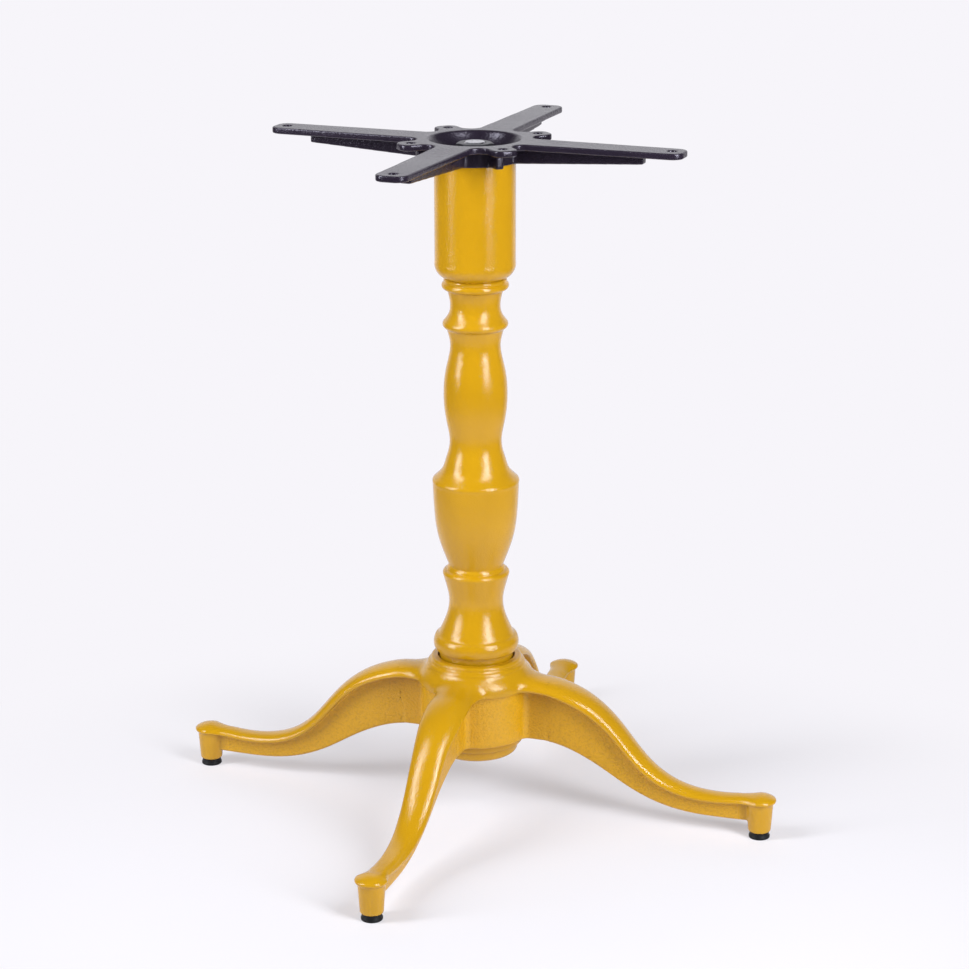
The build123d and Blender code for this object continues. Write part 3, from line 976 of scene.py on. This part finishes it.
# One smoothed skin over all the shells, shared out to the hub and the four legs.
def buildCasting(c, f):
    piece = makePiece("castingSkin", *joinShells(castingShells(c, f)), body=None)
    mesh = remeshed(piece, c["voxel"])
    points, edges, counts = meshArrays(mesh)
    for k in range(c["rounds"]):
        weight = np.full(len(points), c["roundWeights"][k % 2])
        points = smoothedOnce(points, edges, counts, weight)
    points = easedFillets(points, edges, counts, c, easing)
    points = tuckedUnder(points, covered)
    mesh.vertices.foreach_set("co", (points * millimetre).ravel())
    # the mask of the sand grain and of the painted light on the shaded webs and barrel
    grain = mesh.attributes.new("castGrainAndPaintedLight", "FLOAT", "POINT")
    grain.data.foreach_set("value", grainAndPaintedLightShare(points, c, sandGrainAndPaintedLight).astype(np.float32))
    mesh.update()
    names = ["legHub"] + ["cabrioleLeg_%d" % (k + 1) for k in range(c["legs"])]
    pieces = sharedOut(piece, names, c["legCut"], finishes["yellow"])
    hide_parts("base_casting")
    print("base casting skinned:", [len(p.data.polygons) for p in pieces], "faces")


ringCollar = {
    "inner": 20.0,
    "seatGap": 0.2,
    "groove": (38.6, 41.0),  # a shadow gap round the column's foot
    "grooveDepth": 4.2,
    "bottom": 1.0,  # so far under the groove
    "reach": 53.6,
    "hem": (53.0, 152.0),
    "inset": 0.1,
    "soft": 0.45,
    "spacing": 1.5,
    "around": 160,
    "crease": 60,
}


# The dome's rings, set in a little along their normals, and the socket that the column
# stands in.
def buildRings(c, r):
    rings = traceOutline(domePlace, c["domeOutline"])
    rings = softened(rings[rings[:, 0] < r["reach"]], r["soft"], r["spacing"])
    grooveFrom, grooveTo = r["groove"]
    rings[:, 0] = np.maximum(rings[:, 0], grooveTo)
    normal = np.gradient(rings, axis=0)[:, ::-1] * [-1, 1]
    rings = rings - r["inset"] * normal / np.linalg.norm(normal, axis=1)[:, None]
    top, floor = column["seat"] - r["seatGap"], column["seat"] - r["grooveDepth"]
    below = (r["inner"], floor - r["bottom"])
    seat = [below, (r["inner"], top), (grooveFrom, top), (grooveFrom, floor), (grooveTo, floor)]
    collar = np.concatenate([seat, rings, [r["hem"], below]])
    points, quads = revolved(collar, r["around"])
    piece = makePiece("domeRings", points, quads, finishes["yellow"], crease=r["crease"])


# Radius and height in mm, from the mouth round the outside and back down the core.
hubFoot = {
    "mouth": (37.0, 59.6),
    "round": 5.0,
    "roundCentre": (39.2, 64.6),
    "steps": [(44.2, 71), (48.0, 71), (49.4, 72.2), (49.4, 84)],
    "wall": [(51, 84), (51, 152)],
    "deck": [(11.6, 152), (11.6, 150), (39.2, 150)],
    "core": [(48.2, 141), (48.2, 88.8), (37, 71)],
    "soft": 0.5,
    "spacing": 2.0,
    "around": 144,
    "crease": 45,
}


# The stepped foot under the hub, with the cored underside and the tie rod's hole.
def buildHubFoot(h):
    quarter = np.linspace(0, 0.5 * pi, 8)
    rounded = h["roundCentre"] + h["round"] * np.stack([np.sin(quarter), -np.cos(quarter)], axis=1)
    outer = softened(np.concatenate([[h["mouth"]], rounded, h["steps"]]), h["soft"], h["spacing"])
    outline = np.concatenate([outer, h["wall"], h["deck"], h["core"], [h["mouth"]]])
    points, quads = revolved(outline, h["around"])
    piece = makePiece("hubFoot", points, quads, finishes["yellow"], crease=h["crease"])


buildCasting(casting, foot)
buildRings(casting, ringCollar)
buildHubFoot(hubFoot)
print("base casting built")


spider = {
    "turn": -2.461,
    "voxel": 0.95,
    "rounds": 2,
    "weight": 0.5,
    "top": 719.98,  # a hair below the solid's top, so that the skin stays inside it
    "armCut": 92.0,
}


# The casting's own solid, squared up with the grid, skinned finely and eased so that every
# edge is rounded as paint rounds it.
def buildSpider(s):
    turn = radians(s["turn"])
    mesh = nodes["top_spider"].data.copy()
    points = meshArrays(mesh)[0]
    mesh.vertices.foreach_set("co", (turned(points, -turn) * millimetre).ravel())
    piece = bpy.data.objects.new("spiderSkin", mesh)
    bpy.context.scene.collection.objects.link(piece)
    weldPiece(piece)
    mesh = remeshed(piece, s["voxel"])
    points, edges, counts = meshArrays(mesh)
    for _ in range(s["rounds"]):
        points = smoothedOnce(points, edges, counts, np.full(len(points), s["weight"]))
    points[:, 2] = np.minimum(points[:, 2], s["top"])
    mesh.vertices.foreach_set("co", (turned(points, turn) * millimetre).ravel())
    mesh.update()
    names = ["spiderHub"] + ["spiderArm_%d" % (k + 1) for k in range(4)]
    pieces = sharedOut(piece, names, s["armCut"], finishes["blackCast"], turn)
    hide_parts("top_spider")
    print("spider skinned:", [len(p.data.polygons) for p in pieces], "faces")


buildSpider(spider)


tieRod = {
    "low": 121.0,
    "high": 716.6,
    "radius": 11.0,
    "pitch": 2.5,
    "depth": 1.3,
    "chamfer": 1.3,
    "threads": ((121.0, 175.0), (690.0, 716.6)),
    "around": 64,
}
glideStud = {
    "low": 1.6,
    "high": 25.6,
    "radius": 4.0,
    "pitch": 1.25,
    "depth": 0.65,
    "chamfer": 0.8,
    "threads": ((7.8, 25.6),),
    "around": 40,
}
threadForm = {
    "stretch": 1.25,
    "crest": 0.12,
    "rowsPerTurn": 8,
    "plainEvery": 12,  # only one row in so many is kept where the bar is plain
    "crease": 40,
}


# Radius less depth times a saw wave of (height / pitch - angle / turn), stretched and clipped
# to flat crests and roots, where threaded.
def threadedBar(name, bar, node, centre=(0, 0), body="root"):
    form, low, high = threadForm, bar["low"], bar["high"]
    z = np.linspace(low, high, int((high - low) / (bar["pitch"] / form["rowsPerTurn"])) + 1)
    plain = np.ones(len(z), bool)
    for start, end in bar["threads"]:
        plain &= ~((z > start) & (z < end))
    ends = np.minimum(z - low, high - z)
    keep = ~plain | (np.arange(len(z)) % form["plainEvery"] == 0) | (ends < bar["pitch"])
    z, plain, ends = z[keep], plain[keep], ends[keep]
    angle = np.arange(bar["around"]) * 2 * pi / bar["around"]
    wave = np.abs(((z[:, None] / bar["pitch"] - angle / (2 * pi)) % 1) * 2 - 1)
    cut = bar["depth"] * np.clip(wave * form["stretch"] - form["crest"], 0, 1) * ~plain[:, None]
    r = np.minimum(bar["radius"] - cut, bar["radius"] - bar["chamfer"] + ends[:, None])
    x, y = centre[0] + r * np.cos(angle), centre[1] + r * np.sin(angle)
    points, quads = closedEnds(np.stack([x, y, z[:, None] + 0 * x], axis=-1))
    piece = makePiece(name, points, quads, finishes["zinc"], body, crease=form["crease"])
    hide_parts(node)


# Centre of a foot: its reach along its leg's direction.
def footPlace(k):
    angle = k * 0.5 * pi
    return casting["footReach"] * np.cos(angle), casting["footReach"] * np.sin(angle)


threadedBar("tieRodThreaded", tieRod, "tie_rod")
for k in range(4):
    number = "%d" % (k + 1)
    threadedBar("glideThread_" + number, glideStud, "glide_stud_" + number, footPlace(k), "glide_" + number)
print("threads cut")

glidePad = {
    "radius": 11.0,
    "height": 7.0,
    "waist": 10.1,
    "edge": 0.9,
    "hem": 2.4,
    "shoulder": (0.2, 3.4),  # out from the waist, and height
    "around": 72,
    "crease": 50,
}


# A moulded foot that spreads a little where it meets the floor.
def buildPad(g, name, centre, body, node):
    edge = g["edge"]
    quarter = np.linspace(0, 0.5 * pi, 7)
    low = np.stack([g["radius"] - edge + edge * np.sin(quarter), edge * (1 - np.cos(quarter))], axis=1)
    high = np.stack([g["waist"] - edge + edge * np.cos(quarter),
                     g["height"] - edge + edge * np.sin(quarter)], axis=1)
    out, rise = g["shoulder"]
    side = [(g["radius"], g["hem"]), (g["waist"] + out, rise)]
    outline = np.concatenate([[(0, 0)], low, side, high, [(0, g["height"])]])
    points, quads = revolved(outline, g["around"], centre)
    piece = makePiece(name, points, quads, finishes["plastic"], body, crease=g["crease"])
    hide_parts(node)


for k in range(4):
    number = "%d" % (k + 1)
    buildPad(glidePad, "glideFoot_" + number, footPlace(k), "glide_" + number, "glide_pad_" + number)
print("pads turned")

nodeFinish = {
    "top_nut": "blackSteel", "top_washer": "blackSteel",
    "bottom_nut": "zinc", "bottom_washer": "zinc",
}
for name, finish in nodeFinish.items():
    nodes[name].data.materials.clear()
    nodes[name].data.materials.append(finishes[finish])


studio = {
    "floorSide": 14.0,
    "floorColour": (0.930, 0.913, 0.956),
    "floorPaint": (0.775, 0.735, 0.755),
    "floorLift": (0.40, 1.0),  # share of its own light near the base and far from it
    "liftReach": (0.30, 0.75),
    "liftAhead": 0.22,  # the lift is reckoned from a point this far in front
    "front": -70.8,  # azimuth of the studio's dark side, in degrees
    "sheetEnd": (0.7, 1.15),  # distance at which reflections see the sheet end
    "skyColour": (0.96, 0.955, 1.0),
    "darkLevel": 0.09,
    "brightLevel": 1.0,
    "backdropLevel": 0.956,
    "darkFrom": -0.60,
    "brightFrom": -0.80,
    # azimuth, elevation, distance, width, height, radiance
    "lamps": {
        "rightBox": (-28.8, 29.0, 2.3, 0.59, 2.4, 17.0),
        "leftBox": (-140.8, 29.0, 2.3, 0.46, 2.4, 17.3),
    },
    "aim": (0.0, 0.0, 0.38),
    "lampColour": (0.91, 0.96, 1.0),
}


# Position or direction along a level azimuth: x cos + y sin.
def alongAzimuth(tree, place, azimuth):
    along = tree.nodes.new("ShaderNodeVectorMath")
    along.operation = "DOT_PRODUCT"
    along.inputs[1].default_value = (np.cos(radians(azimuth)), np.sin(radians(azimuth)), 0)
    tree.links.new(place, along.inputs[0])
    return along.outputs["Value"]


# Distance of a position from a centre.
def awayFrom(tree, place, centre):
    away = tree.nodes.new("ShaderNodeVectorMath")
    away.operation = "DISTANCE"
    away.inputs[1].default_value = centre
    tree.links.new(place, away.inputs[0])
    return away.outputs["Value"]


# A pale sheet that keeps the base's shadow. It is seen at its own colour far from the base,
# and reflections see it end in front of the base, where the dark room begins.
def addFloor(s):
    mesh = bpy.data.meshes.new("studioFloor")
    side = s["floorSide"]
    corners = [(-side, -side, 0), (side, -side, 0), (side, side, 0), (-side, side, 0)]
    mesh.from_pydata(corners, [], [(0, 1, 2, 3)])
    floor = bpy.data.objects.new("studioFloor", mesh)
    bpy.context.scene.collection.objects.link(floor)
    material = bpy.data.materials.new("studioFloor")
    material.use_nodes = True
    tree = material.node_tree
    tree.nodes.clear()
    output = tree.nodes.new("ShaderNodeOutputMaterial")
    matt = tree.nodes.new("ShaderNodeBsdfDiffuse")
    glow = tree.nodes.new("ShaderNodeEmission")
    room = tree.nodes.new("ShaderNodeEmission")
    matt.inputs["Color"].default_value = (*s["floorPaint"], 1)
    glow.inputs["Color"].default_value = (*s["floorColour"], 1)
    room.inputs["Color"].default_value = (*s["skyColour"], 1)
    room.inputs["Strength"].default_value = s["darkLevel"]
    path = tree.nodes.new("ShaderNodeLightPath")
    mirrored = addMath(tree, "MAXIMUM", path.outputs["Is Glossy Ray"], path.outputs["Is Transmission Ray"])
    seen = addMath(tree, "MAXIMUM", path.outputs["Is Camera Ray"], mirrored)
    place = tree.nodes.new("ShaderNodeTexCoord").outputs["Object"]
    front = (np.cos(radians(s["front"])), np.sin(radians(s["front"])), 0)
    lift = mapValue(tree, awayFrom(tree, place, [s["liftAhead"] * k for k in front]),
                    *s["liftReach"], *s["floorLift"], "SMOOTHSTEP")
    heading = tree.nodes.new("ShaderNodeVectorMath")
    heading.operation = "NORMALIZE"
    tree.links.new(place, heading.inputs[0])
    ahead = mapValue(tree, alongAzimuth(tree, heading.outputs["Vector"], s["front"]),
                     s["brightFrom"], s["darkFrom"], 0.0, 1.0, "SMOOTHSTEP")
    past = mapValue(tree, awayFrom(tree, place, (0, 0, 0)), *s["sheetEnd"], 0.0, 1.0, "SMOOTHSTEP")
    past = addMath(tree, "MULTIPLY", past, ahead)
    sheet = tree.nodes.new("ShaderNodeMixShader")
    tree.links.new(addMath(tree, "MULTIPLY", seen, lift), sheet.inputs["Fac"])
    tree.links.new(matt.outputs[0], sheet.inputs[1])
    tree.links.new(glow.outputs[0], sheet.inputs[2])
    ended = tree.nodes.new("ShaderNodeMixShader")
    tree.links.new(addMath(tree, "MULTIPLY", mirrored, past), ended.inputs["Fac"])
    tree.links.new(sheet.outputs[0], ended.inputs[1])
    tree.links.new(room.outputs[0], ended.inputs[2])
    tree.links.new(ended.outputs[0], output.inputs["Surface"])
    mesh.materials.append(material)


# White backdrop behind the base and a dark room in front of it, by direction d:
# level = a smooth ramp of d along the studio's front. The camera sees white all round.
def addSky(s):
    world = bpy.data.worlds.new("studioSky")
    bpy.context.scene.world = world
    world.use_nodes = True
    tree = world.node_tree
    backdrop = tree.nodes["Background"]
    backdrop.inputs["Color"].default_value = (*s["skyColour"], 1)
    along = alongAzimuth(tree, tree.nodes.new("ShaderNodeTexCoord").outputs["Generated"], s["front"])
    level = mapValue(tree, along, s["brightFrom"], s["darkFrom"],
                     s["brightLevel"], s["darkLevel"], "SMOOTHSTEP")
    seen = tree.nodes.new("ShaderNodeLightPath").outputs["Is Camera Ray"]
    level = addMath(tree, "MAXIMUM", level, addMath(tree, "MULTIPLY", seen, s["backdropLevel"]))
    tree.links.new(level, backdrop.inputs["Strength"])


# Soft boxes that face the aim: power = radiance times pi times area.
def addLamps(s):
    aim = Vector(s["aim"])
    for name, (azimuth, elevation, distance, width, height, radiance) in s["lamps"].items():
        data = bpy.data.lights.new(name, "AREA")
        data.shape = "RECTANGLE"
        data.size, data.size_y = width, height
        data.color = s["lampColour"]
        data.energy = radiance * pi * width * height
        lamp = bpy.data.objects.new(name, data)
        bpy.context.scene.collection.objects.link(lamp)
        az, el = radians(azimuth), radians(elevation)
        away = Vector((np.cos(az) * np.cos(el), np.sin(az) * np.cos(el), np.sin(el)))
        lamp.location = aim + away * distance
        lamp.rotation_euler = away.to_track_quat("Z", "Y").to_euler()


addFloor(studio)
addSky(studio)
addLamps(studio)
bpy.context.scene.view_settings.view_transform = "Standard"
print("studio lit")
